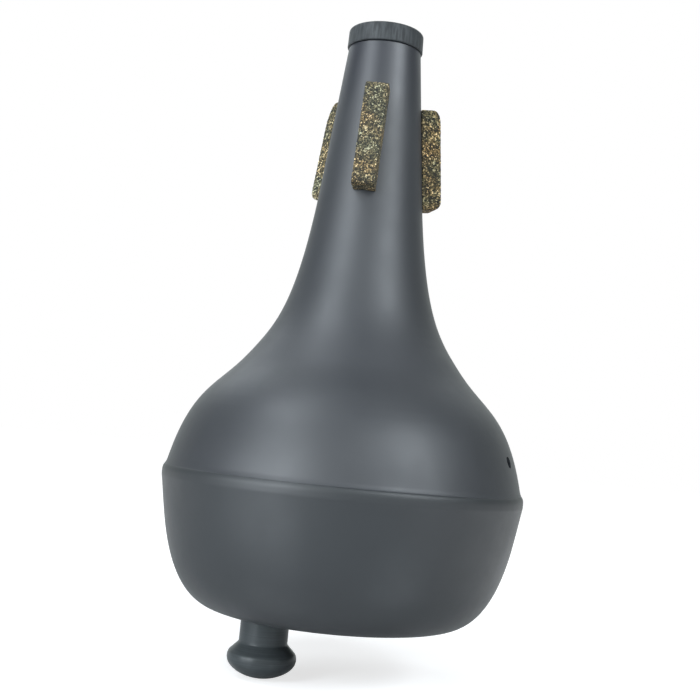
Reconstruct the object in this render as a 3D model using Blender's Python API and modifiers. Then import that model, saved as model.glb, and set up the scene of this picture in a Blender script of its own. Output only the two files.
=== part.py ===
"""Bass trombone practice mute, in metres, +Z along its axis towards the small end.

The body is a moulded shell in two parts. The upper shell runs from the neck, which goes into the
instrument's bell, through one long flare to the shoulder. Its lower edge is a spigot that sits inside
the lip of the lower bowl. A cap closes the neck around an air tube that hangs down into the chamber,
and the breath leaves by a small vent in the shoulder. Three cork pads on the neck hold the mute in
the bell. A turned knob under the base, off the axis, is the handle that pulls it out again.

The origin is the centre of the flat base. Azimuths are in degrees from -Y, positive towards +X.
"""

import math

import bmesh
import bpy
from mathutils import Matrix, Vector
from mathutils.geometry import interpolate_bezier

MM = 0.001

# Gap between any two pieces that touch
FIT = 0.3 * MM

# Lower bowl, measured up from the flat base. The side swells a little towards its lip.
BASE_FLAT_RADIUS = 55.15 * MM
BOWL_RADIUS = 87.95 * MM
BOWL_TAPER = math.radians(9.56)
BOWL_WALL = 3.5 * MM
SEAM_HEIGHT = 66.2 * MM
LIP_HEIGHT = 7.2 * MM
LIP_SWELL = 0.29 * MM
LIP_CREST_DROP = 5.3 * MM
LIP_WALL = 2.0 * MM
LAP_DEPTH = 8.7 * MM
# The lip steps out from under the shoulder: how far it slopes down there, and how full it is
LIP_TOP_SLOPE = math.radians(30.4)
LIP_TOP_FULLNESS = 1.3
LIP_SIDE_FULLNESS = 0.41
CORNER_HEIGHT = 44.6 * MM
CORNER_SIDE_FULLNESS = 0.612
CORNER_BASE_FULLNESS = 0.528

# Upper shell: shoulder, flare and neck
SHELL_WALL = 3.0 * MM
SHOULDER_DROP = 1.61 * MM
SHOULDER_LEAN = math.radians(12.8)
SHOULDER_FULLNESS = 0.592
FLARE_HEIGHT = 122.8 * MM
FLARE_RADIUS = 52.05 * MM
FLARE_ANGLE = math.radians(37.1)
FLARE_LOWER_FULLNESS = 0.342
FLARE_UPPER_FULLNESS = 0.21
CONE_FULLNESS = 0.679
CONE_FOOT_HEIGHT = 213.5 * MM
NECK_HEIGHT = 280.4 * MM
NECK_RADIUS = 18.13 * MM
NECK_TAPER = math.radians(5.81)
TENON_LENGTH = 5.0 * MM
TENON_STEP = 1.3 * MM

# Vent through the shoulder
VENT_DIAMETER = 5.6 * MM
VENT_HEIGHT = 82.0 * MM
VENT_AZIMUTH = 67.4

# Cap on the neck
CAP_HEIGHT = 9.8 * MM
CAP_OVERHANG = 0.82 * MM
CAP_DRAFT = 0.2 * MM
CAP_ROUND = 1.5 * MM
CAP_EDGE_BREAK = 0.4 * MM
CAP_PLUG_DEPTH = 10.0 * MM

# Air tube in the cap
TUBE_BORE_DIAMETER = 13.0 * MM
TUBE_WALL = 1.5 * MM
TUBE_LENGTH = 184.0 * MM
TUBE_EDGE_BREAK = 0.5 * MM

# Cork pads on the neck
PAD_WIDTH = 11.2 * MM
PAD_THICKNESS = 9.8 * MM
PAD_EDGE_BREAK = 0.7 * MM
# Each pad was cut, sanded and glued on by hand, so each has its own length, its own place (how far its
# middle is below the top of the neck), its own lead-in at the top and its own rounding at the heel
FRONT_PAD_LENGTH = 51.9 * MM
FRONT_PAD_DROP = 50.7 * MM
FRONT_PAD_LEAD_IN = 4.5 * MM
FRONT_PAD_LEAD_DEPTH = 2.4 * MM
FRONT_PAD_HEEL = 2.6 * MM
RIGHT_PAD_LENGTH = 50.7 * MM
RIGHT_PAD_DROP = 52.3 * MM
RIGHT_PAD_LEAD_IN = 6.2 * MM
RIGHT_PAD_LEAD_DEPTH = 3.5 * MM
RIGHT_PAD_HEEL = 4.4 * MM
LEFT_PAD_LENGTH = 51.8 * MM
LEFT_PAD_DROP = 50.0 * MM
LEFT_PAD_LEAD_IN = 14.0 * MM
LEFT_PAD_LEAD_DEPTH = 4.6 * MM
LEFT_PAD_HEEL = 4.1 * MM
# Azimuth of each pad, and how far its top leans towards a greater azimuth, in degrees
PAD_ANGLES = {
    "cork_pad_front": (-6.2, 2.0),
    "cork_pad_right": (105.0, 0.0),
    "cork_pad_left": (-132.0, -3.0),
}

# Pull knob under the base
KNOB_OFFSET = 36.75 * MM
KNOB_AZIMUTH = -54.7
KNOB_HEIGHT = 28.6 * MM
KNOB_RADIUS = 16.25 * MM
KNOB_STEM_RADIUS = 11.4 * MM
KNOB_STEM_LENGTH = 12.4 * MM
KNOB_COVE = 1.2 * MM
KNOB_SHOULDER = 3.9 * MM
KNOB_RIM_DEPTH = 7.05 * MM
KNOB_DOME_FULLNESS = 0.52
KNOB_BORE_DEPTH = 17.5 * MM

# Screw and washer that hold the knob from inside, and the raised pad they bear on
SCREW_DIAMETER = 4.0 * MM
SCREW_GRIP = 15.5 * MM
SCREW_HEAD_DIAMETER = 8.0 * MM
SCREW_HEAD_HEIGHT = 2.6 * MM
SCREW_HEAD_ROUND = 1.1 * MM
SCREW_SLOT_WIDTH = 1.1 * MM
SCREW_SLOT_LENGTH = 4.6 * MM
SCREW_SLOT_DEPTH = 1.5 * MM
WASHER_DIAMETER = 12.0 * MM
WASHER_THICKNESS = 1.0 * MM
BOSS_DIAMETER = 18.0 * MM
BOSS_HEIGHT = 2.0 * MM

# Facets
BODY_STEPS = 60
NECK_STEPS = 48
SMALL_STEPS = 32
CURVE_POINTS = 12
INNER_CURVE_POINTS = 6
DOME_POINTS = 9
ROUND_POINTS = 5
LIP_TOP_POINTS = 9
LIP_POINTS = 4
SHARP_ANGLE = math.radians(30)
MERGE = 0.01 * MM


def point(radius, height):
    """A point of a turned outline."""
    return Vector((radius, 0.0, height))


def bezier(start, start_handle, end_handle, end, count):
    """Points along one cubic curve, both ends included."""
    return interpolate_bezier(start, start_handle, end_handle, end, count)


def quarter_round(start, corner, end, count=ROUND_POINTS):
    """Points on a quarter ellipse from start to end that is tangent to both sides of the corner."""
    points = []
    for index in range(count + 1):
        angle = math.pi / 2 * index / count
        along = 1 - math.cos(angle)
        across = math.sin(angle)
        points.append(start + (corner - start) * across + (end - corner) * along)
    return points


def offset_outline(points, distance):
    """The open outline moved square to itself, away from the axis where it runs downwards."""
    moved = []
    for index, here in enumerate(points):
        before = points[max(index - 1, 0)]
        after = points[min(index + 1, len(points) - 1)]
        run = (after - before).normalized()
        moved.append(here + point(-run.z, run.x) * distance)
    return moved


def radius_at(points, height):
    """Radius of a descending outline at a height, and how fast the radius grows downwards there."""
    for upper, lower in zip(points, points[1:]):
        if lower.z <= height:
            growth = (lower.x - upper.x) / (upper.z - lower.z)
            return upper.x + growth * (upper.z - height), growth
    raise ValueError("the outline doesn't reach down to this height")


def direction(azimuth):
    """Unit vectors away from the axis and sideways round it at an azimuth."""
    angle = math.radians(azimuth)
    outward = Vector((math.sin(angle), -math.cos(angle), 0.0))
    sideways = Vector((math.cos(angle), math.sin(angle), 0.0))
    return outward, sideways


def shell_curve(count):
    """Outer outline of the upper shell, from the top of the neck down to the seam."""
    foot_radius = NECK_RADIUS + (NECK_HEIGHT - CONE_FOOT_HEIGHT) * math.tan(NECK_TAPER)
    top = point(NECK_RADIUS, NECK_HEIGHT)
    foot = point(foot_radius, CONE_FOOT_HEIGHT)
    flare = point(FLARE_RADIUS, FLARE_HEIGHT)
    edge = point(BOWL_RADIUS - SHOULDER_DROP, SEAM_HEIGHT + FIT)
    down_cone = (foot - top).normalized()
    down_flare = point(math.sin(FLARE_ANGLE), -math.cos(FLARE_ANGLE))
    down_edge = point(math.sin(SHOULDER_LEAN), -math.cos(SHOULDER_LEAN))
    upper_span = (flare - foot).length
    lower_span = (edge - flare).length
    upper = bezier(
        foot,
        foot + down_cone * upper_span * CONE_FULLNESS,
        flare - down_flare * upper_span * FLARE_UPPER_FULLNESS,
        flare,
        count,
    )
    lower = bezier(
        flare,
        flare + down_flare * lower_span * FLARE_LOWER_FULLNESS,
        edge - down_edge * lower_span * SHOULDER_FULLNESS,
        edge,
        count,
    )
    return [top] + upper + lower[1:]


def rebate_radius():
    """Inner radius of the bowl's lip, where the upper shell's spigot goes in."""
    return BOWL_RADIUS - LIP_WALL


def lap_floor():
    """Height of the ledge inside the bowl that the spigot sits on."""
    return SEAM_HEIGHT - LAP_DEPTH


def upper_shell_outline():
    """Closed outline: down the outside from the cap's tenon to the spigot, and up the inside."""
    outside = shell_curve(CURVE_POINTS)
    inside = offset_outline(shell_curve(INNER_CURVE_POINTS), -SHELL_WALL)
    tenon_radius = NECK_RADIUS - TENON_STEP
    tenon_top = NECK_HEIGHT + TENON_LENGTH
    spigot_radius = rebate_radius() - FIT
    spigot_foot = lap_floor() + FIT
    outline = [point(tenon_radius, tenon_top), point(tenon_radius, NECK_HEIGHT)]
    outline += outside
    outline += [
        point(spigot_radius, SEAM_HEIGHT + FIT),
        point(spigot_radius, spigot_foot),
        point(inside[-1].x, spigot_foot),
    ]
    outline += reversed(inside)
    outline.append(point(inside[0].x, tenon_top))
    return outline


def bowl_side():
    """Where the bowl's straight side leaves the lip, and the direction in which it runs down."""
    top = point(BOWL_RADIUS - LIP_SWELL, SEAM_HEIGHT - LIP_HEIGHT)
    down = point(-math.sin(BOWL_TAPER), -math.cos(BOWL_TAPER))
    return top, down


def lip_outline():
    """From the shoulder's edge over the rounded top of the lip and its crest to the straight side."""
    side_top, down = bowl_side()
    edge = point(BOWL_RADIUS - SHOULDER_DROP, SEAM_HEIGHT)
    crest = point(BOWL_RADIUS, SEAM_HEIGHT - LIP_CREST_DROP)
    outwards = point(math.cos(LIP_TOP_SLOPE), -math.sin(LIP_TOP_SLOPE))
    fall = (crest.z - side_top.z) / 3
    outline = bezier(
        edge,
        edge + outwards * SHOULDER_DROP * LIP_TOP_FULLNESS,
        crest + point(0.0, LIP_CREST_DROP * LIP_SIDE_FULLNESS),
        crest,
        LIP_TOP_POINTS,
    )
    outline += bezier(
        crest,
        crest - point(0.0, fall),
        side_top - down * fall,
        side_top,
        LIP_POINTS,
    )[1:]
    return outline


def lower_bowl_outline():
    """Outline from the middle of the floor up the inside, over the lip and down the outside."""
    side_top, down = bowl_side()
    corner_top = side_top + down * ((side_top.z - CORNER_HEIGHT) / -down.z)
    base_edge = point(BASE_FLAT_RADIUS, 0.0)

    def corner(count):
        reach = corner_top.x - BASE_FLAT_RADIUS
        return bezier(
            corner_top,
            corner_top + down * CORNER_HEIGHT * CORNER_SIDE_FULLNESS,
            base_edge + point(reach * CORNER_BASE_FULLNESS, 0.0),
            base_edge,
            count,
        )

    inside = offset_outline([side_top] + corner(INNER_CURVE_POINTS), -BOWL_WALL)
    ledge_radius = radius_at(inside, lap_floor())[0]
    inside = [place for place in inside if place.z < lap_floor()]
    inside[-1].z = BOWL_WALL
    outline = [point(0.0, BOWL_WALL)]
    outline += reversed(inside)
    outline += [
        point(ledge_radius, lap_floor()),
        point(rebate_radius(), lap_floor()),
        point(rebate_radius(), SEAM_HEIGHT),
    ]
    outline += lip_outline()
    outline += corner(CURVE_POINTS)
    outline.append(point(0.0, 0.0))
    return outline


def tube_radius():
    """Outer radius of the air tube."""
    return TUBE_BORE_DIAMETER / 2 + TUBE_WALL


def cap_outline():
    """Closed outline of the cap, with a socket for the neck's tenon and one for the air tube."""
    foot = NECK_HEIGHT + FIT
    top = NECK_HEIGHT + CAP_HEIGHT
    foot_radius = NECK_RADIUS + CAP_OVERHANG
    top_radius = foot_radius - CAP_DRAFT
    socket_top = NECK_HEIGHT + TENON_LENGTH + FIT
    socket_radius = NECK_RADIUS - TENON_STEP + FIT
    plug_radius = NECK_RADIUS - SHELL_WALL / math.cos(NECK_TAPER) - FIT
    plug_foot = socket_top - CAP_PLUG_DEPTH
    bore_radius = TUBE_BORE_DIAMETER / 2
    outline = [point(bore_radius, top - CAP_EDGE_BREAK), point(bore_radius + CAP_EDGE_BREAK, top)]
    outline += quarter_round(
        point(top_radius - CAP_ROUND, top),
        point(top_radius, top),
        point(top_radius, top - CAP_ROUND),
    )
    outline += [
        point(foot_radius, foot + CAP_EDGE_BREAK),
        point(foot_radius - CAP_EDGE_BREAK, foot),
        point(socket_radius, foot),
        point(socket_radius, socket_top),
        point(plug_radius, socket_top),
        point(plug_radius, plug_foot),
        point(tube_radius() + FIT, plug_foot),
        point(tube_radius() + FIT, socket_top),
        point(bore_radius, socket_top),
    ]
    return outline


def tube_outline():
    """Closed outline of the air tube, which ends free in the chamber."""
    top = NECK_HEIGHT + TENON_LENGTH
    foot = top - TUBE_LENGTH
    outer = tube_radius()
    bore = TUBE_BORE_DIAMETER / 2
    return [
        point(outer, top),
        point(outer, foot + TUBE_EDGE_BREAK),
        point(outer - TUBE_EDGE_BREAK, foot),
        point(bore, foot),
        point(bore, top),
    ]


def knob_outline():
    """Outline of the knob from the blind end of its screw hole, round the outside, to the dome."""
    bore_radius = SCREW_DIAMETER / 2 + FIT
    stem_foot = point(KNOB_STEM_RADIUS, -FIT - KNOB_STEM_LENGTH)
    rim = point(KNOB_RADIUS, stem_foot.z - KNOB_RIM_DEPTH)
    dome_depth = KNOB_HEIGHT + FIT + rim.z
    down_shoulder = point(1.0, -1.0).normalized()
    cove_top = stem_foot + point(0.0, KNOB_COVE)
    cove_foot = stem_foot + down_shoulder * KNOB_COVE
    shoulder_foot = stem_foot + down_shoulder * KNOB_SHOULDER * math.sqrt(2)
    rim_rise = (shoulder_foot.z - rim.z) / 2
    outline = [
        point(0.0, -FIT - KNOB_BORE_DEPTH),
        point(bore_radius, -FIT - KNOB_BORE_DEPTH),
        point(bore_radius, -FIT),
        point(KNOB_STEM_RADIUS, -FIT),
    ]
    outline += bezier(cove_top, stem_foot, stem_foot, cove_foot, ROUND_POINTS)
    outline += bezier(
        shoulder_foot,
        shoulder_foot + down_shoulder * rim_rise / 2,
        rim + point(0.0, rim_rise),
        rim,
        ROUND_POINTS,
    )
    outline += bezier(
        rim,
        rim - point(0.0, dome_depth * KNOB_DOME_FULLNESS),
        point(KNOB_RADIUS * KNOB_DOME_FULLNESS, -FIT - KNOB_HEIGHT),
        point(0.0, -FIT - KNOB_HEIGHT),
        DOME_POINTS,
    )[1:]
    return outline


def washer_outline():
    """Closed outline of the washer on the raised pad inside the bowl."""
    foot = BOWL_WALL + BOSS_HEIGHT + FIT
    hole = SCREW_DIAMETER / 2 + FIT
    return [
        point(WASHER_DIAMETER / 2, foot + WASHER_THICKNESS),
        point(WASHER_DIAMETER / 2, foot),
        point(hole, foot),
        point(hole, foot + WASHER_THICKNESS),
    ]


def screw_head_foot():
    """Height of the underside of the screw's head, just above the washer."""
    return BOWL_WALL + BOSS_HEIGHT + WASHER_THICKNESS + 2 * FIT


def screw_outline():
    """Outline of a pan-head screw that points down into the knob."""
    head_foot = screw_head_foot()
    head_top = head_foot + SCREW_HEAD_HEIGHT
    head_radius = SCREW_HEAD_DIAMETER / 2
    shank_radius = SCREW_DIAMETER / 2
    tip = -FIT - SCREW_GRIP
    outline = [point(0.0, head_top)]
    outline += quarter_round(
        point(head_radius - SCREW_HEAD_ROUND, head_top),
        point(head_radius, head_top),
        point(head_radius, head_top - SCREW_HEAD_ROUND),
    )
    outline += [
        point(head_radius, head_foot),
        point(shank_radius, head_foot),
        point(shank_radius, tip + shank_radius / 2),
        point(shank_radius / 2, tip),
        point(0.0, tip),
    ]
    return outline


def clear_scene():
    for obj in list(bpy.data.objects):
        bpy.data.objects.remove(obj, do_unlink=True)


def new_collection(name):
    collection = bpy.data.collections.new(name)
    bpy.context.scene.collection.children.link(collection)
    return collection


def new_object(name, data, collection):
    obj = bpy.data.objects.new(name, data)
    collection.objects.link(obj)
    return obj


def new_material(name, colour, roughness, metallic=0.0):
    material = bpy.data.materials.new(name)
    material.use_nodes = True
    shader = material.node_tree.nodes["Principled BSDF"]
    shader.inputs["Base Color"].default_value = (*colour, 1.0)
    shader.inputs["Roughness"].default_value = roughness
    shader.inputs["Metallic"].default_value = metallic
    return material


def shade_round(mesh):
    """Smooth shading, broken where two faces meet at more than the sharp angle."""
    mesh.shade_smooth()
    mesh.set_sharp_from_angle(angle=SHARP_ANGLE)


def evaluated_mesh(obj):
    """The object's shape as a mesh of its own, with its modifiers in it."""
    bpy.context.view_layer.update()
    graph = bpy.context.evaluated_depsgraph_get()
    return bpy.data.meshes.new_from_object(obj.evaluated_get(graph))


def turned(name, outline, steps, collection):
    """A solid turned about +Z. An outline that starts on the axis also ends there; any other is a ring."""
    count = len(outline)
    edges = [(index, index + 1) for index in range(count - 1)]
    if outline[0].x > 0.0:
        edges.append((count - 1, 0))
    profile = bpy.data.meshes.new(name)
    profile.from_pydata([place[:] for place in outline], edges, [])
    obj = new_object(name, profile, collection)
    screw = obj.modifiers.new("Turn", "SCREW")
    screw.axis = "Z"
    screw.steps = steps
    screw.render_steps = steps
    screw.use_merge_vertices = True
    screw.merge_threshold = MERGE
    obj.data = evaluated_mesh(obj)
    obj.modifiers.clear()
    bpy.data.meshes.remove(profile)
    obj.data.name = name
    shade_round(obj.data)
    return obj


def cylinder(name, radius, low, high, steps, collection):
    """A closed cylinder about the object's own Z axis, between two heights."""
    mesh = bpy.data.meshes.new(name)
    shape = bmesh.new()
    bmesh.ops.create_cone(
        shape,
        cap_ends=True,
        segments=steps,
        radius1=radius,
        radius2=radius,
        depth=high - low,
        matrix=Matrix.Translation((0.0, 0.0, (low + high) / 2)),
    )
    shape.to_mesh(mesh)
    shape.free()
    shade_round(mesh)
    return new_object(name, mesh, collection)


def box(name, size, collection):
    """A closed box about the object's own origin."""
    mesh = bpy.data.meshes.new(name)
    shape = bmesh.new()
    bmesh.ops.create_cube(shape, size=1.0, matrix=Matrix.Diagonal((*size, 1.0)))
    shape.to_mesh(mesh)
    shape.free()
    return new_object(name, mesh, collection)


def as_cutter(obj):
    obj.hide_render = True
    obj.display_type = "WIRE"


def combine(obj, other, operation):
    """Join another object to this one, or cut it away."""
    as_cutter(other)
    boolean = obj.modifiers.new(other.name, "BOOLEAN")
    boolean.operation = operation
    boolean.solver = "EXACT"
    boolean.object = other


def make_upper_shell(parts, cutters):
    shell = turned("upper_shell", upper_shell_outline(), BODY_STEPS, parts)
    radius, growth = radius_at(shell_curve(CURVE_POINTS), VENT_HEIGHT)
    outward = direction(VENT_AZIMUTH)[0]
    square = (outward + Vector((0.0, 0.0, growth))).normalized()
    reach = 2 * SHELL_WALL
    vent = cylinder("vent_cutter", VENT_DIAMETER / 2, -reach, reach, SMALL_STEPS, cutters)
    vent.rotation_mode = "QUATERNION"
    vent.rotation_quaternion = square.to_track_quat("Z", "Y")
    vent.location = outward * radius + Vector((0.0, 0.0, VENT_HEIGHT))
    combine(shell, vent, "DIFFERENCE")
    shell.data.materials.append(new_material("moulded_shell", (0.085, 0.093, 0.103), 0.42))


def knob_place():
    return direction(KNOB_AZIMUTH)[0] * KNOB_OFFSET


def make_lower_bowl(parts, cutters):
    bowl = turned("lower_bowl", lower_bowl_outline(), BODY_STEPS, parts)
    boss_top = BOWL_WALL + BOSS_HEIGHT
    boss = cylinder("boss_form", BOSS_DIAMETER / 2, BOWL_WALL / 2, boss_top, SMALL_STEPS, cutters)
    hole_radius = SCREW_DIAMETER / 2 + FIT
    hole = cylinder("screw_hole_cutter", hole_radius, -BOWL_WALL, 2 * boss_top, SMALL_STEPS, cutters)
    boss.location = knob_place()
    hole.location = knob_place()
    combine(bowl, boss, "UNION")
    combine(bowl, hole, "DIFFERENCE")
    bowl.data.materials.append(new_material("moulded_bowl", (0.08, 0.088, 0.098), 0.42))


def make_end_cap(parts):
    cap = turned("end_cap", cap_outline(), NECK_STEPS, parts)
    cap.data.materials.append(new_material("cap_plastic", (0.07, 0.075, 0.085), 0.6))


def make_inner_tube(parts):
    tube = turned("inner_tube", tube_outline(), SMALL_STEPS, parts)
    tube.data.materials.append(new_material("tube_plastic", (0.02, 0.02, 0.022), 0.5))


def pad_outline(length, lead_in, lead_depth, heel):
    """Side view of a pad: X square to the neck, Y along it, with spare stock for the saddle cut."""
    end = length / 2
    stock = -(PAD_WIDTH**2) / (8 * NECK_RADIUS) - FIT
    top_lead = Vector((PAD_THICKNESS - lead_depth, end, 0.0))
    foot_lead = Vector((PAD_THICKNESS, end - lead_in, 0.0))
    heel_start = Vector((PAD_THICKNESS, heel - end, 0.0))
    heel_end = Vector((PAD_THICKNESS - heel, -end, 0.0))
    outline = [Vector((stock, -end, 0.0)), Vector((stock, end, 0.0))]
    outline += quarter_round(top_lead, Vector((PAD_THICKNESS, end, 0.0)), foot_lead)
    outline += quarter_round(heel_start, Vector((PAD_THICKNESS, -end, 0.0)), heel_end)
    return outline


def pad_outlines():
    """The side view of each pad, by name."""
    return {
        "cork_pad_front": pad_outline(
            FRONT_PAD_LENGTH, FRONT_PAD_LEAD_IN, FRONT_PAD_LEAD_DEPTH, FRONT_PAD_HEEL
        ),
        "cork_pad_right": pad_outline(
            RIGHT_PAD_LENGTH, RIGHT_PAD_LEAD_IN, RIGHT_PAD_LEAD_DEPTH, RIGHT_PAD_HEEL
        ),
        "cork_pad_left": pad_outline(
            LEFT_PAD_LENGTH, LEFT_PAD_LEAD_IN, LEFT_PAD_LEAD_DEPTH, LEFT_PAD_HEEL
        ),
    }


def pad_heights():
    """The height of each pad's middle, by name."""
    return {
        "cork_pad_front": NECK_HEIGHT - FRONT_PAD_DROP,
        "cork_pad_right": NECK_HEIGHT - RIGHT_PAD_DROP,
        "cork_pad_left": NECK_HEIGHT - LEFT_PAD_DROP,
    }


def extruded(name, outline, thickness, collection):
    """A flat outline in the object's XY plane, given thickness evenly to both sides."""
    curve = bpy.data.curves.new(name, "CURVE")
    curve.dimensions = "2D"
    curve.fill_mode = "BOTH"
    curve.extrude = thickness / 2
    spline = curve.splines.new("POLY")
    spline.points.add(len(outline) - 1)
    for slot, place in zip(spline.points, outline):
        slot.co = (*place, 1.0)
    spline.use_cyclic_u = True
    guide = new_object(name + "_outline", curve, collection)
    mesh = evaluated_mesh(guide)
    bpy.data.objects.remove(guide)
    shape = bmesh.new()
    shape.from_mesh(mesh)
    bmesh.ops.remove_doubles(shape, verts=shape.verts, dist=MERGE)
    bmesh.ops.recalc_face_normals(shape, faces=shape.faces)
    shape.to_mesh(mesh)
    shape.free()
    mesh.name = name
    return new_object(name, mesh, collection)


def make_cork_pad(name, outline, height, neck_form, cork, parts):
    """One pad, set square on the neck and cut to fit its curve."""
    azimuth, lean = PAD_ANGLES[name]
    pad = extruded(name, outline, PAD_WIDTH, parts)
    outward, sideways = direction(azimuth)
    square = outward * math.cos(NECK_TAPER) + Vector((0.0, 0.0, math.sin(NECK_TAPER)))
    upward = square.cross(sideways)
    turn = Matrix((square, upward, -sideways)).transposed().to_4x4()
    radius = radius_at(shell_curve(CURVE_POINTS), height)[0]
    foot = outward * radius + Vector((0.0, 0.0, height))
    pad.matrix_world = (
        Matrix.Translation(foot) @ turn @ Matrix.Rotation(-math.radians(lean), 4, "X")
    )
    bevel = pad.modifiers.new("Edges", "BEVEL")
    bevel.width = PAD_EDGE_BREAK
    bevel.segments = 2
    bevel.limit_method = "ANGLE"
    bevel.angle_limit = math.radians(60)
    combine(pad, neck_form, "DIFFERENCE")
    pad.data.materials.append(cork)


def make_cork_pads(parts, cutters):
    outline = offset_outline(shell_curve(CURVE_POINTS), FIT)
    outline = [point(0.0, outline[0].z)] + outline + [point(0.0, outline[-1].z)]
    neck_form = turned("neck_form_cutter", outline, BODY_STEPS, cutters)
    heights = pad_heights()
    for name, side_view in pad_outlines().items():
        cork = new_material(name + "_cork", (0.11, 0.09, 0.05), 0.9)
        make_cork_pad(name, side_view, heights[name], neck_form, cork, parts)


def make_knob(parts, cutters):
    """The knob, its screw and its washer, all on the knob's own axis."""
    axis = new_object("knob_axis", None, parts)
    axis.location = knob_place()
    knob = turned("pull_knob", knob_outline(), NECK_STEPS, parts)
    knob.data.materials.append(new_material("knob_plastic", (0.035, 0.037, 0.04), 0.35))
    washer = turned("knob_washer", washer_outline(), SMALL_STEPS, parts)
    washer.data.materials.append(new_material("washer_steel", (0.6, 0.6, 0.6), 0.3, 1.0))
    screw = turned("knob_screw", screw_outline(), SMALL_STEPS, parts)
    screw.data.materials.append(new_material("screw_steel", (0.62, 0.62, 0.6), 0.28, 1.0))
    head_top = screw_head_foot() + SCREW_HEAD_HEIGHT
    slot_size = (SCREW_SLOT_LENGTH, SCREW_SLOT_WIDTH, 2 * SCREW_SLOT_DEPTH)
    for index in range(2):
        slot = box(f"screw_slot_cutter_{index + 1}", slot_size, cutters)
        slot.location = (0.0, 0.0, head_top)
        slot.rotation_euler = (0.0, 0.0, math.pi / 2 * index)
        slot.parent = axis
        combine(screw, slot, "DIFFERENCE")
    for piece in (knob, washer, screw):
        piece.parent = axis


def main():
    clear_scene()
    parts = new_collection("bass_trombone_mute")
    cutters = new_collection("cutters")
    make_upper_shell(parts, cutters)
    make_lower_bowl(parts, cutters)
    make_end_cap(parts)
    make_inner_tube(parts)
    make_cork_pads(parts, cutters)
    make_knob(parts, cutters)


main()
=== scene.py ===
"""Looks of the bass trombone practice mute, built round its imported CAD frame.

The turned pieces are turned again, much finer, from the outlines that the frame's own meshes have. The
cork pads are remeshed with a crumbled surface. Materials are procedural. All lengths are in metres.
"""

import math

import bmesh
import bpy
import numpy as np
from mathutils import Matrix, Vector


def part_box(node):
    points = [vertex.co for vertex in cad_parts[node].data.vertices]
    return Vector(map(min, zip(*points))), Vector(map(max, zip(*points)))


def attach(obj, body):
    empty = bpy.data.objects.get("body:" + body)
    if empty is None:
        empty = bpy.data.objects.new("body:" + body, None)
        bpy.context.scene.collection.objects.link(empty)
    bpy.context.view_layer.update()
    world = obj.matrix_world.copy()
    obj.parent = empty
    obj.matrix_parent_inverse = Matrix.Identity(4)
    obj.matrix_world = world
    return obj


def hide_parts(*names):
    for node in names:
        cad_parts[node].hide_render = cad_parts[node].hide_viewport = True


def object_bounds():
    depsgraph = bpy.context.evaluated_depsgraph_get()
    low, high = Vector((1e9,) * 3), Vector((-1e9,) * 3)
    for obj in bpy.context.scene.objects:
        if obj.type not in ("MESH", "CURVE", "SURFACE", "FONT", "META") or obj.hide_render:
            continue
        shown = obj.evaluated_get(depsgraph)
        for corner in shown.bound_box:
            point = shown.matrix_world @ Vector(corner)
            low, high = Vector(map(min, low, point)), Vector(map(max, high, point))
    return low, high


MM = 0.001
AXIS = (0.0, 0.0)

# The photograph's camera: where it is, how far it looks up and how far it is turned round its own axis
CAMERA_PLACE = (-2.86 * MM, -563.73 * MM, 89.09 * MM)
CAMERA_PITCH = math.radians(4.061)
CAMERA_ROLL = math.radians(5.606)
PHOTO_SIDE = 700
FOCAL_PIXELS = 1142.0
SENSOR = 36.0

# Vent through the shoulder, its azimuth from -Y towards +X, and the length of the drill
VENT_DIAMETER = 5.6 * MM
VENT_HEIGHT = 82.0 * MM
VENT_AZIMUTH = math.radians(67.4)
VENT_DRILL = 12.0 * MM

# Raised pad and screw hole in the bowl's floor. The pad's foot sinks into the floor, to FLOOR_SKIN
BOSS_DIAMETER = 18.0 * MM
BOSS_TOP = 5.5 * MM
FLOOR_SKIN = 1.75 * MM
SCREW_HOLE_DIAMETER = 4.6 * MM
DRILL_STEPS = 48
SHARP_ANGLE = math.radians(50)

# Turning: facets round the axis, the longest and shortest facets and the most turning along a curve,
# and how far from its ends a long facet is held flat. Turning below STRAIGHT counts as none
FINE_STEPS = 288
FINE_SPAN = 3.0 * MM
SHORT_SPAN = 0.05 * MM
FINE_TURN = math.radians(3.0)
STRAIGHT = 1e-4
FLAT_HOLD = 0.3 * MM

# Corners that turn more than this angle get a small round
CORNER_ANGLE = math.radians(27)
CORNER_ROUND = 0.25 * MM

# Points closer than MERGE are one point, and one closer than NEAR to a plane or a radius lies on it
MERGE = 0.002 * MM
NEAR = 5 * MERGE

# At the seam the shoulder runs out onto the lip in a soft hollow, from HOLLOW_TOP down to where the two
# parts meet. SPIGOT_RADIUS is the outside of the shell's lap, inside the lip
SEAM_HEIGHT = 65.65 * MM
SEAM_GAP = 0.05 * MM
HOLLOW_TOP = 68.2 * MM
HOLLOW_FULLNESS = 0.6
HOLLOW_STEPS = 14
SPIGOT_RADIUS = 85.65 * MM

# Lamps: azimuth from -Y towards +X and elevation in degrees, width and height in metres, watts
LAMP_DISTANCE = 1.4
LAMP_TARGET = (0.0, 0.0, 0.13)
LAMP_COLOUR = (0.925, 1.0, 1.06)
LAMPS = {
    "left_low_front": (-38.0, 6.0, 0.42, 0.32, 5.9),
    "left_low_side": (-58.0, 6.0, 0.42, 0.32, 6.0),
    "left_middle": (-38.0, 20.0, 0.42, 0.32, 6.2),
    "left_high": (-58.0, 50.0, 0.42, 0.32, 7.0),
    "left_top": (-60.0, 70.0, 0.7, 0.4, 2.1),
    "front_fill": (12.0, 34.0, 0.5, 0.32, 1.4),
    "right_low": (52.0, 20.0, 0.42, 0.32, 2.6),
    "right_front": (38.0, 34.0, 0.42, 0.32, 5.5),
    "right_side": (52.0, 34.0, 0.42, 0.32, 4.1),
    "right_top": (60.0, 70.0, 0.7, 0.4, 1.3),
    "back_left": (-140.0, 41.0, 0.6, 0.6, 2.9),
    "back_right": (140.0, 41.0, 0.6, 0.6, 0.9),
}
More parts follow.
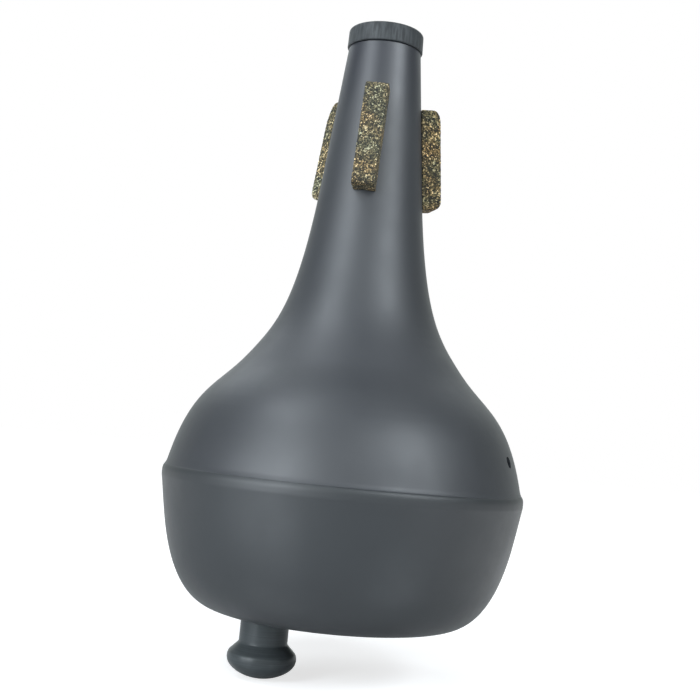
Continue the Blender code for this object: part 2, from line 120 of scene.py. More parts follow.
# What glossy surfaces see at the sides, the little light that comes from all round, and their tint
SIDE_WALLS = 0.38
AMBIENT = 0.03
BACKDROP_TINT = (0.93, 1.0, 0.96)

# Stretch of the neck over which the shell gets smoother, and darker and bluer as painted shade where
# less lamp light reaches towards the cap, and by how much
POLISH_AND_SHADE_FROM = 235.0 * MM
POLISH_AND_SHADE_TO = 276.0 * MM
WORN_POLISH = 0.055
NECK_PAINTED_SHADE = (0.35, 0.42, 0.68)

# Grain of the satin plastic: noise scale and strength of its relief
SATIN_GRAIN = 9000.0
SATIN_BUMP = 0.05

# Cork: how finely the pads are remeshed, and the size and depth of the crumbling on their surface
PAD_VOXEL = 0.36 * MM
CRUMBLE_SIZE = 1.1 * MM
CRUMBLE_DEPTH = 0.18 * MM
# Colours of its ground and of its flecks, from the darkest to the palest
CORK_GROUND = (0.014, 0.014, 0.010)
CORK_FLECKS = (
    (0.0, (0.03, 0.028, 0.016)),
    (0.5, (0.095, 0.080, 0.042)),
    (0.8, (0.28, 0.22, 0.12)),
    (1.0, (0.78, 0.68, 0.45)),
)
# Sizes of the flecks as scales of the cell pattern, and the share of cells that stay dark
FLECK_SCALES = (1150.0, 2000.0)
DARK_SHARE = 0.60
# Casts of the cooler and the warmer regions
CORK_COOL = (0.76, 0.82, 0.80)
CORK_WARM = (1.28, 1.08, 0.86)
# Each pad has its own cast: the front pad darker and the side pads lighter, as painted shade and light
# for how the lamps fall on each, and the right pad browner and the left greyer
PAD_SHADES_AND_TINTS = {
    "cork_pad_front": (0.82, 0.83, 0.84),
    "cork_pad_left": (1.08, 1.16, 1.24),
    "cork_pad_right": (1.23, 1.16, 1.03),
}

FLOOR_SIZE = 8.0
FLOOR_GAP = 0.2 * MM
FLOOR_GREY = (0.55, 0.55, 0.55, 1.0)
FLOOR_SHEEN = (0.3, 0.3, 0.3, 1.0)
# The floor's glow away from the mute: where it starts and where it is full, in metres, and how strong
# it is at both, as glossy surfaces see it and as the camera does
# The low glow next to the mute, as glossy surfaces see it, is a painted shadow of the mute on the floor
GLOW_REFLECTED = (0.0, 0.35, 0.04, 0.75)
GLOW_SHOWN = (0.25, 0.8, 0.72, 1.0)
# For glossy surfaces the way to the right counts in full, and the ways to the left and back by a share
GLOW_LEFT = -0.2
GLOW_BACK = 0.5


def raw_mesh(node):
    """The node's own mesh with its split vertices merged, as a bmesh."""
    shape = bmesh.new()
    shape.from_mesh(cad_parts[node].data)
    bmesh.ops.remove_doubles(shape, verts=shape.verts, dist=MERGE)
    return shape


def meridian(node, centre, angle):
    """Outline of a turned node in one half-plane through its axis, and whether it is closed.

    The outline is an ordered array of (radius, z). One that isn't closed runs from axis to axis.
    """
    shape = raw_mesh(node)
    along = Vector((math.cos(angle), math.sin(angle), 0.0))
    across = Vector((-math.sin(angle), math.cos(angle), 0.0))
    origin = Vector((centre[0], centre[1], 0.0))
    shape.verts.ensure_lookup_table()
    on_plane = {}
    for vert in shape.verts:
        place = vert.co - origin
        if abs(place.dot(across)) < NEAR and place.dot(along) > -NEAR:
            on_plane[vert.index] = (max(place.dot(along), 0.0), place.z)
    links = {index: [] for index in on_plane}
    for edge in shape.edges:
        first, second = edge.verts[0].index, edge.verts[1].index
        if first in links and second in links:
            if on_plane[first][0] > MERGE or on_plane[second][0] > MERGE:
                links[first].append(second)
                links[second].append(first)
    ends = [index for index in links if len(links[index]) == 1]
    if ends:
        start = min(ends, key=lambda index: on_plane[index][1])
    else:
        start = max(links, key=lambda index: on_plane[index])
    order = [start]
    last = None
    here = start
    while True:
        following = [index for index in links[here] if index != last]
        if not following or following[0] == start:
            break
        last, here = here, following[0]
        order.append(here)
    outline = [on_plane[index] for index in order]
    shape.free()
    if ends and outline[0][0] > MERGE:
        outline.insert(0, (0.0, outline[0][1]))
    if ends and outline[-1][0] > MERGE:
        outline.append((0.0, outline[-1][1]))
    return np.array(outline), not ends


def turning(outline, closed):
    """Change of direction at each point of an outline."""
    count = len(outline)
    turns = np.zeros(count)
    for index in range(count):
        if not closed and index in (0, count - 1):
            continue
        before = outline[index] - outline[index - 1]
        after = outline[(index + 1) % count] - outline[index]
        cross = before[0] * after[1] - before[1] * after[0]
        turns[index] = math.atan2(cross, before @ after)
    return turns


def shares_of(length, turn):
    """Where along a stretch points go: closer where it turns, and near both ends of a long one."""
    steps = math.ceil(turn / FINE_TURN)
    steps = max(steps, math.ceil(length / FINE_SPAN) if turn > STRAIGHT else 1)
    steps = min(steps, max(1, int(length / SHORT_SPAN)))
    shares = {step / steps for step in range(steps)}
    hold = FLAT_HOLD / length
    if hold < 0.5 / steps:
        shares |= {hold, 1 - hold}
    return sorted(shares)


def smooth_run(points):
    """A run of outline points without corners, filled in by centripetal Catmull-Rom curves.

    Facets much longer than those beside them stay straight. The run's last point is left out.
    """
    if len(points) < 3:
        return [tuple(points[0])]
    turns = np.abs(turning(points, False))
    padded = [2 * points[0] - points[1], *points, 2 * points[-1] - points[-2]]
    spans = np.linalg.norm(np.diff(points, axis=0), axis=1)
    filled = []
    for index in range(1, len(padded) - 2):
        p0, p1, p2, p3 = padded[index - 1 : index + 3]
        span = spans[index - 1]
        beside = [*spans[max(index - 2, 0) : index - 1], *spans[index : index + 1]]
        if span > 3 * max(beside):
            for share in shares_of(span, 0.0):
                filled.append(tuple(p1 + (p2 - p1) * share))
            continue
        t0 = 0.0
        t1 = t0 + np.linalg.norm(p1 - p0) ** 0.5
        t2 = t1 + np.linalg.norm(p2 - p1) ** 0.5
        t3 = t2 + np.linalg.norm(p3 - p2) ** 0.5
        for share in shares_of(span, max(turns[index - 1], turns[index])):
            t = t1 + (t2 - t1) * share
            a1 = (t1 - t) / (t1 - t0) * p0 + (t - t0) / (t1 - t0) * p1
            a2 = (t2 - t) / (t2 - t1) * p1 + (t - t1) / (t2 - t1) * p2
            a3 = (t3 - t) / (t3 - t2) * p2 + (t - t2) / (t3 - t2) * p3
            b1 = (t2 - t) / (t2 - t0) * a1 + (t - t0) / (t2 - t0) * a2
            b2 = (t3 - t) / (t3 - t1) * a2 + (t - t1) / (t3 - t1) * a3
            filled.append(tuple((t2 - t) / (t2 - t1) * b1 + (t - t1) / (t2 - t1) * b2))
    return filled


def rounded_corners(outline, closed):
    """The outline with each sharp corner replaced by the five points of a small round."""
    turns = turning(outline, closed)
    count = len(outline)
    made = []
    for index in range(count):
        here = outline[index]
        if abs(turns[index]) < CORNER_ANGLE or here[0] < MERGE:
            made.append(here)
            continue
        before = outline[index - 1] - here
        after = outline[(index + 1) % count] - here
        reach = min(CORNER_ROUND, 0.4 * np.linalg.norm(before), 0.4 * np.linalg.norm(after))
        start = here + before / np.linalg.norm(before) * reach
        end = here + after / np.linalg.norm(after) * reach
        for share in (0.0, 0.25, 0.5, 0.75, 1.0):
            made.append((1 - share) ** 2 * start + 2 * share * (1 - share) * here + share**2 * end)
    return np.array(made)


def fine_outline(outline, closed):
    """Rounded corners, and smooth curves through the points between them."""
    outline = rounded_corners(outline, closed)
    turns = turning(outline, closed)
    corners = [index for index in range(len(outline)) if abs(turns[index]) > CORNER_ANGLE]
    if closed:
        first = corners[0] if corners else 0
        outline = np.roll(outline, -first, axis=0)
        corners = [index - first for index in corners] or [0]
        outline = np.vstack([outline, outline[:1]])
    breaks = sorted({0, *corners, len(outline) - 1})
    filled = []
    for start, end in zip(breaks, breaks[1:]):
        filled += smooth_run(outline[start : end + 1])
    if not closed:
        filled.append(tuple(outline[-1]))
    return np.array(filled)


def turned_mesh(name, outline, closed, centre):
    """The outline turned about the vertical through its centre, as one closed mesh."""
    shape = bmesh.new()
    rings = []
    for radius, height in outline:
        if radius < MERGE:
            rings.append([shape.verts.new((centre[0], centre[1], height))])
            continue
        ring = []
        for step in range(FINE_STEPS):
            angle = 2 * math.pi * step / FINE_STEPS
            across = centre[0] + radius * math.cos(angle)
            back = centre[1] + radius * math.sin(angle)
            ring.append(shape.verts.new((across, back, height)))
        rings.append(ring)
    pairs = list(zip(rings, rings[1:]))
    if closed:
        pairs.append((rings[-1], rings[0]))
    for lower, upper in pairs:
        for step in range(FINE_STEPS):
            after = (step + 1) % FINE_STEPS
            if len(lower) == 1 and len(upper) == 1:
                break
            if len(lower) == 1:
                shape.faces.new((lower[0], upper[after], upper[step]))
            elif len(upper) == 1:
                shape.faces.new((lower[step], lower[after], upper[0]))
            else:
                shape.faces.new((lower[step], lower[after], upper[after], upper[step]))
    bmesh.ops.recalc_face_normals(shape, faces=shape.faces)
    mesh = bpy.data.meshes.new(name)
    shape.to_mesh(mesh)
    shape.free()
    mesh.shade_smooth()
    mesh.set_sharp_from_angle(angle=SHARP_ANGLE)
    return mesh


def add_piece(name, mesh, material, node):
    """A scene piece that stands for a CAD node."""
    piece = bpy.data.objects.new(name, mesh)
    bpy.context.scene.collection.objects.link(piece)
    mesh.materials.clear()
    mesh.materials.append(material)
    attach(piece, "root")
    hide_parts(node)
    return piece


def turned_piece(name, node, material, centre):
    """A scene piece with a turned node's own shape, much finer."""
    outline, closed = meridian(node, centre, math.pi)
    mesh = turned_mesh(name, fine_outline(outline, closed), closed, centre)
    add_piece(name, mesh, material, node)


def node_adder(tree):
    """A helper that adds a node to this tree, with its settings, its values and its incoming links."""

    def add(kind, inputs=None, **settings):
        node = tree.nodes.new(kind)
        for key, value in settings.items():
            setattr(node, key, value)
        for key, value in (inputs or {}).items():
            if isinstance(value, bpy.types.NodeSocket):
                tree.links.new(value, node.inputs[key])
            else:
                node.inputs[key].default_value = value
        return node

    return add


def node_tools(name):
    """A new material, its node tree, its shader and a helper that adds nodes."""
    material = bpy.data.materials.new(name)
    material.use_nodes = True
    tree = material.node_tree
    return material, tree, tree.nodes["Principled BSDF"], node_adder(tree)


def ramp(add, source, stops):
    """A colour that runs through the stops, each a place and a colour, as the source grows."""
    node = add("ShaderNodeValToRGB", {"Fac": source})
    while len(node.color_ramp.elements) < len(stops):
        node.color_ramp.elements.new(0.5)
    for element, (place, colour) in zip(node.color_ramp.elements, stops):
        element.position = place
        element.color = (*colour, 1.0)
    return node.outputs["Color"]


def scaled(colour, factors):
    """A colour with each channel times its own factor."""
    return tuple(c * factor for c, factor in zip(colour, factors))


def varied(colour, share):
    """Two stops of a ramp, a colour made darker and lighter by a share."""
    return [(0.3, scaled(colour, (1 - share,) * 3)), (0.7, scaled(colour, (1 + share,) * 3))]


def between(add, noise, low, high):
    """A value that a noise moves between low and high."""
    return add(
        "ShaderNodeMapRange",
        {"Value": noise, "From Min": 0.3, "From Max": 0.7, "To Min": low, "To Max": high},
    ).outputs["Result"]


def dress(tree, shader, tint, rough, relief):
    """Link to the shader what changes over the surface."""
    tree.links.new(tint, shader.inputs["Base Color"])
    tree.links.new(rough, shader.inputs["Roughness"])
    tree.links.new(relief.outputs["Normal"], shader.inputs["Normal"])


def satin_plastic(name, colour, roughness, gloss, polished_shaded_neck=False):
    """Moulded plastic with a fine matt grain, faint cloudiness and a few handling smears.

    Towards the cap it gets smoother, and darker and bluer: the darkening is painted shade, where less
    lamp light reaches the neck.
    """
    material, tree, shader, add = node_tools(name)
    place = add("ShaderNodeTexCoord").outputs["Object"]
    cloud = add("ShaderNodeTexNoise", {"Vector": place, "Scale": 28.0, "Detail": 5.0}).outputs["Fac"]
    smear = add(
        "ShaderNodeTexNoise",
        {"Vector": place, "Scale": 90.0, "Detail": 8.0, "Roughness": 0.65},
    ).outputs["Fac"]
    tint = ramp(add, cloud, varied(colour, 0.06))
    rough = between(add, smear, roughness - 0.03, roughness + 0.03)
    if polished_shaded_neck:
        height = add("ShaderNodeSeparateXYZ", {"Vector": place}).outputs["Z"]
        polish_and_shade = add(
            "ShaderNodeMapRange",
            {"Value": height, "From Min": POLISH_AND_SHADE_FROM, "From Max": POLISH_AND_SHADE_TO},
            interpolation_type="SMOOTHSTEP",
        ).outputs["Result"]
        # painted shade: the neck's colour goes darker and bluer towards the cap, where less lamp light
        # reaches
        shade = (*scaled(colour, NECK_PAINTED_SHADE), 1.0)
        tint = add(
            "ShaderNodeMix", {"Factor": polish_and_shade, "A": tint, "B": shade}, data_type="RGBA"
        ).outputs["Result"]
        rough = add(
            "ShaderNodeMath", {0: polish_and_shade, 1: -WORN_POLISH, 2: rough}, operation="MULTIPLY_ADD"
        ).outputs["Value"]
    grain = add("ShaderNodeTexNoise", {"Vector": place, "Scale": SATIN_GRAIN, "Detail": 2.0})
    relief = add(
        "ShaderNodeBump",
        {"Strength": SATIN_BUMP, "Distance": 0.05 * MM, "Height": grain.outputs["Fac"]},
    )
    dress(tree, shader, tint, rough, relief)
    shader.inputs["Specular IOR Level"].default_value = gloss
    return material


def streaked_plastic(name, dark, light, roughness, gloss):
    """Matt plastic with fine streaks along the axis, as on a cap that has been cleaned up by hand."""
    material, tree, shader, add = node_tools(name)
    place = add("ShaderNodeTexCoord").outputs["Object"]
    drawn = add("ShaderNodeMapping", {"Vector": place, "Scale": (800.0, 800.0, 130.0)}).outputs["Vector"]
    streaks = add("ShaderNodeTexNoise", {"Vector": drawn, "Scale": 1.0, "Detail": 3.0}).outputs["Fac"]
    tint = ramp(add, streaks, [(0.35, dark), (0.65, light)])
    rough = between(add, streaks, roughness + 0.08, roughness - 0.08)
    relief = add("ShaderNodeBump", {"Strength": 0.35, "Distance": 0.08 * MM, "Height": streaks})
    dress(tree, shader, tint, rough, relief)
    shader.inputs["Specular IOR Level"].default_value = gloss
    return material


def rubber_cork(name, pad_shade_and_tint):
    """Black rubber cork: dense gold and tan flecks of two sizes in a near-black ground.

    The flecks' edges are uneven, and some regions are cooler and some warmer.
    """
    material, tree, shader, add = node_tools(name)
    place = add("ShaderNodeTexCoord").outputs["Object"]
    warp = add("ShaderNodeTexNoise", {"Vector": place, "Scale": 1400.0, "Detail": 3.0}).outputs["Color"]
    shifted = add("ShaderNodeVectorMath", {0: warp, 1: (0.0006, 0.0006, 0.0006)}, operation="MULTIPLY")
    moved = add(
        "ShaderNodeVectorMath", {0: place, 1: shifted.outputs["Vector"]}, operation="ADD"
    ).outputs["Vector"]
    colour = (*CORK_GROUND, 1.0)
    for scale in FLECK_SCALES:
        cells = add("ShaderNodeTexVoronoi", {"Vector": moved, "Scale": scale}, feature="F1")
        pick = add("ShaderNodeSeparateColor", {"Color": cells.outputs["Color"]})
        mask = add(
            "ShaderNodeMapRange",
            {"Value": pick.outputs["Red"], "From Min": DARK_SHARE, "From Max": DARK_SHARE + 0.04},
        ).outputs["Result"]
        fleck = ramp(add, pick.outputs["Green"], CORK_FLECKS)
        colour = add(
            "ShaderNodeMix", {"Factor": mask, "A": colour, "B": fleck}, data_type="RGBA"
        ).outputs["Result"]
    region = add("ShaderNodeTexNoise", {"Vector": place, "Scale": 110.0, "Detail": 3.0}).outputs["Fac"]
    # the pad's own factor makes the casts darker or lighter as painted shade and light, and browner or
    # greyer
    cooler = scaled(CORK_COOL, pad_shade_and_tint)
    warmer = scaled(CORK_WARM, pad_shade_and_tint)
    cast = ramp(add, region, [(0.38, cooler), (0.62, warmer)])
    stained = add(
        "ShaderNodeMix",
        {"Factor": 1.0, "A": colour, "B": cast},
        data_type="RGBA",
        blend_type="MULTIPLY",
    )
    tree.links.new(stained.outputs["Result"], shader.inputs["Base Color"])
    shader.inputs["Roughness"].default_value = 0.85
    pits = add("ShaderNodeTexNoise", {"Vector": place, "Scale": 2600.0, "Detail": 4.0}).outputs["Fac"]
    relief = add("ShaderNodeBump", {"Strength": 0.5, "Distance": 0.15 * MM, "Height": pits})
    tree.links.new(relief.outputs["Normal"], shader.inputs["Normal"])
    return material


def turned_plastic(name, colour, roughness, gloss):
    """Dark semi-gloss plastic with fine rings left by the lathe, which wander a little."""
    material, tree, shader, add = node_tools(name)
    place = add("ShaderNodeTexCoord").outputs["Object"]
    drawn = add("ShaderNodeMapping", {"Vector": place, "Scale": (30.0, 30.0, 1600.0)}).outputs["Vector"]
    rings = add("ShaderNodeTexNoise", {"Vector": drawn, "Scale": 1.0, "Detail": 3.0}).outputs["Fac"]
    tint = ramp(add, rings, varied(colour, 0.17))
    rough = between(add, rings, roughness - 0.05, roughness + 0.05)
    relief = add("ShaderNodeBump", {"Strength": 0.3, "Distance": 0.05 * MM, "Height": rings})
    dress(tree, shader, tint, rough, relief)
    shader.inputs["Specular IOR Level"].default_value = gloss
    return material


def plated_steel(name):
    """Zinc-plated steel with a fine haze."""
    material, tree, shader, add = node_tools(name)
    place = add("ShaderNodeTexCoord").outputs["Object"]
    haze = add("ShaderNodeTexNoise", {"Vector": place, "Scale": 900.0, "Detail": 6.0}).outputs["Fac"]
    tint = ramp(add, haze, [(0.3, (0.5, 0.5, 0.47)), (0.7, (0.66, 0.66, 0.64))])
    tree.links.new(tint, shader.inputs["Base Color"])
    rough = add("ShaderNodeMapRange", {"Value": haze, "To Min": 0.2, "To Max": 0.4})
    tree.links.new(rough.outputs["Result"], shader.inputs["Roughness"])
    shader.inputs["Metallic"].default_value = 1.0
    return material


def drilled(piece, name, radius, depth, place, direction, operation="DIFFERENCE"):
    """Cut a cylinder from the piece, or join one on, at a place and along a direction."""
    mesh = bpy.data.meshes.new(name)
    shape = bmesh.new()
    bmesh.ops.create_cone(
        shape, cap_ends=True, segments=DRILL_STEPS, radius1=radius, radius2=radius, depth=depth
    )
    shape.to_mesh(mesh)
    shape.free()
    tool = bpy.data.objects.new(name, mesh)
    bpy.context.scene.collection.objects.link(tool)
    tool.rotation_mode = "QUATERNION"
    tool.rotation_quaternion = direction.to_track_quat("Z", "Y")
    tool.location = place
    boolean = piece.modifiers.new(name, "BOOLEAN")
    boolean.operation = operation
    boolean.solver = "EXACT"
    boolean.object = tool
    bpy.context.view_layer.update()
    graph = bpy.context.evaluated_depsgraph_get()
    made = bpy.data.meshes.new_from_object(piece.evaluated_get(graph))
    piece.modifiers.clear()
    piece.data = made
    bpy.data.objects.remove(tool)
    made.shade_smooth()
    made.set_sharp_from_angle(angle=SHARP_ANGLE)


def outer_radius(outline, height):
    """Largest radius of a closed outline at a height, and how fast it grows downwards there."""
    best = (0.0, 0.0)
    for first, second in zip(outline, outline[1:]):
        low, high = sorted((first, second), key=lambda place: place[1])
        if low[1] <= height < high[1]:
            growth = (low[0] - high[0]) / (high[1] - low[1])
            best = max(best, (high[0] + growth * (high[1] - height), growth))
    return best


def bowl_outline():
    """The bowl's fine outline, from the axis to the axis, with its lip level at the seam."""
    outline, closed = meridian("lower_bowl", AXIS, 0.0)
    fine = fine_outline(outline, closed)
    fine[:, 1] = np.minimum(fine[:, 1], SEAM_HEIGHT)
    return fine, closed


def shell_outline():
    """The shell's fine outline, with the hollow that runs from its shoulder out onto the lip.

    The hollow is a cubic curve. Its handles point to where the shoulder's and the lip's lines cross.
    """
    outline, closed = meridian("upper_shell", AXIS, math.pi)
    fine = fine_outline(outline, closed)
    if climbs_outside(fine):
        fine = fine[::-1]
    cut = (fine[:, 1] < HOLLOW_TOP) & (fine[:, 0] > SPIGOT_RADIUS + NEAR)
    first = next(index for index in range(len(fine)) if cut[index] and not cut[index - 1])
    fine = np.roll(fine, -first, axis=0)
    removed, kept = np.split(fine, [np.count_nonzero(cut)])
    lip, _ = bowl_outline()
    level = np.flatnonzero(lip[:, 1] == SEAM_HEIGHT)
    corner = level[np.argmax(lip[level, 0])]
    step = 1 if lip[corner + 1, 1] < SEAM_HEIGHT else -1
    tip = lip[corner] + np.array([0.0, SEAM_GAP])
    run = lip[corner + 2 * step] - lip[corner + step]
    down = removed[0] - kept[-1]
    start = kept[-1] + down * ((kept[-1, 1] - HOLLOW_TOP) / -down[1])
    along, _ = np.linalg.solve(np.column_stack([down, run]), tip - start)
    middle = start + down * along
    hollow = []
    for share in np.linspace(0.0, 1.0, HOLLOW_STEPS + 1):
        rest = 1 - share
        hollow.append(
            rest**3 * start
            + 3 * rest**2 * share * (start + (middle - start) * HOLLOW_FULLNESS)
            + 3 * rest * share**2 * (tip + (middle - tip) * HOLLOW_FULLNESS)
            + share**3 * tip
        )
    land = np.array([SPIGOT_RADIUS, SEAM_HEIGHT + SEAM_GAP])
    return np.vstack([kept, hollow, land]), closed


def climbs_outside(outline):
    """Whether a closed outline goes up its outer side."""
    after = np.roll(outline, -1, axis=0)
    return np.sum(outline[:, 0] * after[:, 1] - after[:, 0] * outline[:, 1]) > 0


def make_shell(material):
    """The shell, with its vent drilled square to the shoulder."""
    fine, closed = shell_outline()
    mesh = turned_mesh("shell", fine, closed, AXIS)
    shell = add_piece("shell", mesh, material, "upper_shell")
    radius, growth = outer_radius(fine, VENT_HEIGHT)
    outward = Vector((math.sin(VENT_AZIMUTH), -math.cos(VENT_AZIMUTH), 0.0))
    square = (outward + Vector((0.0, 0.0, growth))).normalized()
    place = outward * radius + Vector((0.0, 0.0, VENT_HEIGHT))
    drilled(shell, "vent", VENT_DIAMETER / 2, VENT_DRILL, place, square)


def make_bowl(material, centre):
    """The bowl, with the raised pad and the screw's hole over the knob."""
    fine, closed = bowl_outline()
    mesh = turned_mesh("bowl", fine, closed, AXIS)
    bowl = add_piece("bowl", mesh, material, "lower_bowl")
    upright = Vector((0.0, 0.0, 1.0))
    middle = Vector((centre[0], centre[1], 0.0))
    boss_middle = middle + upright * (BOSS_TOP / 2 + FLOOR_SKIN / 2)
    drilled(bowl, "boss", BOSS_DIAMETER / 2, BOSS_TOP - FLOOR_SKIN, boss_middle, upright, "UNION")
    drilled(bowl, "screw_hole", SCREW_HOLE_DIAMETER / 2, 4 * BOSS_TOP, middle, upright)


def make_pad(node, material):
    """A cork pad with softened edges and a slightly crumbled surface."""
    shape = raw_mesh(node)
    mesh = bpy.data.meshes.new(node + "_cork")
    shape.to_mesh(mesh)
    shape.free()
    piece = add_piece(node + "_cork", mesh, material, node)
    remesh = piece.modifiers.new("Grain", "REMESH")
    remesh.mode = "VOXEL"
    remesh.voxel_size = PAD_VOXEL
    smooth = piece.modifiers.new("Ease", "CORRECTIVE_SMOOTH")
    smooth.factor = 0.5
    smooth.iterations = 3
    smooth.use_only_smooth = True
    texture = bpy.data.textures.new(node + "_crumble", "CLOUDS")
    texture.noise_scale = CRUMBLE_SIZE
    crumble = piece.modifiers.new("Crumble", "DISPLACE")
    crumble.texture = texture
    crumble.texture_coords = "GLOBAL"
    crumble.strength = CRUMBLE_DEPTH
    crumble.mid_level = 0.6
    bpy.context.view_layer.update()
    graph = bpy.context.evaluated_depsgraph_get()
    made = bpy.data.meshes.new_from_object(piece.evaluated_get(graph))
    piece.modifiers.clear()
    piece.data = made
    made.shade_smooth()


def make_lamp(name, azimuth, elevation, width, height, power):
    """A softbox at a direction from the mute, turned towards it."""
    lamp = bpy.data.lights.new(name, "AREA")
    lamp.shape = "RECTANGLE"
    lamp.size = width
    lamp.size_y = height
    lamp.energy = power
    lamp.color = LAMP_COLOUR
    holder = bpy.data.objects.new(name, lamp)
    bpy.context.scene.collection.objects.link(holder)
    turn = math.radians(azimuth)
    rise = math.radians(elevation)
    way = Vector((math.sin(turn) * math.cos(rise), -math.cos(turn) * math.cos(rise), math.sin(rise)))
    holder.location = Vector(LAMP_TARGET) + way * LAMP_DISTANCE
    holder.rotation_mode = "QUATERNION"
    holder.rotation_quaternion = (-way).to_track_quat("-Z", "Y")


def ray_kinds(add):
    """Whether a ray is the camera's own, also through something clear, and whether it is glossy."""
    path = add("ShaderNodeLightPath")
    straight = add(
        "ShaderNodeMath",
        {0: path.outputs["Is Camera Ray"], 1: path.outputs["Is Transmission Ray"]},
        operation="MAXIMUM",
    ).outputs["Value"]
    return straight, path.outputs["Is Glossy Ray"]


def make_floor(height):
    """A pale floor that shows white away from the object and keeps its shadow."""
    mesh = bpy.data.meshes.new("floor")
    half = FLOOR_SIZE / 2
    corners = [(-half, -half, height), (half, -half, height)]
    corners += [(half, half, height), (-half, half, height)]
    mesh.from_pydata(corners, [], [(0, 1, 2, 3)])
    floor = bpy.data.objects.new("floor", mesh)
    bpy.context.scene.collection.objects.link(floor)
    material, tree, shader, add = node_tools("pale_floor")
    tree.nodes.remove(shader)
    place = add("ShaderNodeNewGeometry").outputs["Position"]
    far = add("ShaderNodeVectorMath", {0: place}, operation="LENGTH").outputs["Value"]
    axes = add("ShaderNodeSeparateXYZ", {"Vector": place})
    right = axes.outputs["X"]
    left = add("ShaderNodeMath", {0: right, 1: GLOW_LEFT}, operation="MULTIPLY").outputs["Value"]
    aside = add("ShaderNodeMath", {0: right, 1: left}, operation="MAXIMUM").outputs["Value"]
    clear = add(
        "ShaderNodeMath", {0: axes.outputs["Y"], 1: GLOW_BACK, 2: aside}, operation="MULTIPLY_ADD"
    ).outputs["Value"]
    diffuse = add("ShaderNodeBsdfDiffuse", {"Color": FLOOR_GREY}).outputs["BSDF"]
    sheen = add("ShaderNodeBsdfGlossy", {"Color": FLOOR_SHEEN, "Roughness": 0.3}).outputs["BSDF"]

    def glowing(measure, near, edge, low, high):
        """White that fades towards the object, over the floor's own diffuse light."""
        glow = add(
            "ShaderNodeMapRange",
            {"Value": measure, "From Min": near, "From Max": edge, "To Min": low, "To Max": high},
            interpolation_type="SMOOTHSTEP",
        ).outputs["Result"]
        emission = add("ShaderNodeEmission", {"Strength": glow}).outputs["Emission"]
        return add("ShaderNodeAddShader", {0: diffuse, 1: emission}).outputs["Shader"]

    straight, glossy = ray_kinds(add)
    # painted shadow: the glow that glossy surfaces see is low next to the mute
    reflected = glowing(clear, *GLOW_REFLECTED)
    mirrored = add("ShaderNodeAddShader", {0: reflected, 1: sheen}).outputs["Shader"]
    indirect = add("ShaderNodeMixShader", {0: glossy, 1: diffuse, 2: mirrored}).outputs["Shader"]
    shown = glowing(far, *GLOW_SHOWN)
    mixed = add("ShaderNodeMixShader", {0: straight, 1: indirect, 2: shown})
    output = tree.nodes["Material Output"]
    tree.links.new(mixed.outputs["Shader"], output.inputs["Surface"])
    mesh.materials.append(material)


def make_world():
    """White walls behind the mute and behind the camera, darker at the sides and above.

    The camera sees white everywhere. Light on the object comes almost only from the lamps.
    """
    world = bpy.data.worlds.new("studio")
    bpy.context.scene.world = world
    world.use_nodes = True
    tree = world.node_tree
    add = node_adder(tree)
    way = add("ShaderNodeTexCoord").outputs["Generated"]
    along = add("ShaderNodeSeparateXYZ", {"Vector": way}).outputs["Y"]
    depth = add("ShaderNodeMath", {0: along}, operation="ABSOLUTE").outputs["Value"]
    reflected = add(
        "ShaderNodeMapRange",
        {"Value": depth, "From Min": 0.5, "From Max": 0.95, "To Min": SIDE_WALLS, "To Max": 1.0},
        interpolation_type="SMOOTHSTEP",
    ).outputs["Result"]
    straight, glossy = ray_kinds(add)
    indirect = add("ShaderNodeMix", {"Factor": glossy, "A": AMBIENT, "B": reflected}).outputs["Result"]
    strength = add("ShaderNodeMix", {"Factor": straight, "A": indirect, "B": 1.0}).outputs["Result"]
    colour = add(
        "ShaderNodeMix",
        {"Factor": straight, "A": (*BACKDROP_TINT, 1.0), "B": (1.0, 1.0, 1.0, 1.0)},
        data_type="RGBA",
    ).outputs["Result"]
    backdrop = tree.nodes["Background"]
    tree.links.new(colour, backdrop.inputs["Color"])
    tree.links.new(strength, backdrop.inputs["Strength"])


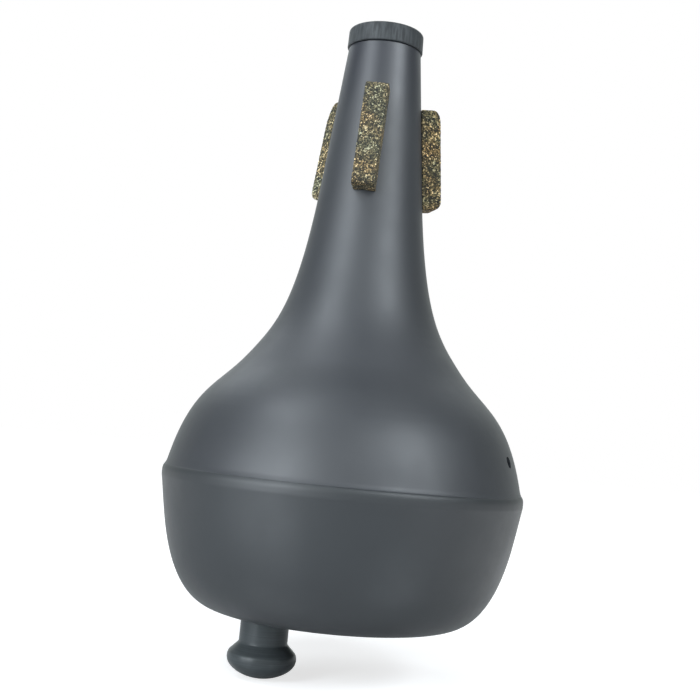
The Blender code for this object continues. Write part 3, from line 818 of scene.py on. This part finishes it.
def make_camera():
    """The photograph's camera."""
    data = bpy.data.cameras.new("camera")
    data.sensor_width = SENSOR
    data.lens = SENSOR * FOCAL_PIXELS / PHOTO_SIDE
    data.clip_start = 0.01
    data.clip_end = 50.0
    camera = bpy.data.objects.new("camera", data)
    bpy.context.scene.collection.objects.link(camera)
    camera.matrix_world = (
        Matrix.Translation(CAMERA_PLACE)
        @ Matrix.Rotation(math.pi / 2 + CAMERA_PITCH, 4, "X")
        @ Matrix.Rotation(CAMERA_ROLL, 4, "Z")
    )
    bpy.context.scene.camera = camera


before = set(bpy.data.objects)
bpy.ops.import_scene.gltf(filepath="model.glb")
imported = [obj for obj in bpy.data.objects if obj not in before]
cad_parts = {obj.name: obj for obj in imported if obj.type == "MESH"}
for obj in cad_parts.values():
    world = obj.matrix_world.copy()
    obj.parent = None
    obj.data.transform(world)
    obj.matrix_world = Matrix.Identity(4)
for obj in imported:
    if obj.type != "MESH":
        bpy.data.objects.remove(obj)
cad_box = [list(corner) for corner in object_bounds()]

make_camera()
shell_paint = satin_plastic("shell_satin", (0.011, 0.013, 0.018), 0.50, 0.78, polished_shaded_neck=True)
bowl_paint = satin_plastic("bowl_satin", (0.011, 0.0135, 0.0165), 0.50, 0.62)
cap_paint = streaked_plastic("cap_matt", (0.020, 0.0225, 0.0245), (0.043, 0.0475, 0.051), 0.60, 0.36)
tube_paint = satin_plastic("tube_matt", (0.02, 0.02, 0.022), 0.5, 0.5)
knob_paint = turned_plastic("knob_gloss", (0.052, 0.059, 0.062), 0.33, 0.22)
steel_paint = plated_steel("zinc_plated_steel")

make_shell(shell_paint)
lowest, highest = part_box("pull_knob")
knob_centre = ((lowest[0] + highest[0]) / 2, (lowest[1] + highest[1]) / 2)
make_bowl(bowl_paint, knob_centre)
turned_piece("cap", "end_cap", cap_paint, AXIS)
turned_piece("air_tube", "inner_tube", tube_paint, AXIS)
turned_piece("knob", "pull_knob", knob_paint, knob_centre)
# each pad's factor holds painted shade and light as well as its own tint
for pad, shade_and_tint in PAD_SHADES_AND_TINTS.items():
    make_pad(pad, rubber_cork(pad + "_grain", shade_and_tint))
for node in ("knob_screw", "knob_washer"):
    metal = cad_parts[node].data
    metal.materials.clear()
    metal.materials.append(steel_paint)

for name, values in LAMPS.items():
    make_lamp(name, *values)
make_world()
make_floor(cad_box[0][2] - FLOOR_GAP)

bpy.context.scene.view_settings.view_transform = "Standard"
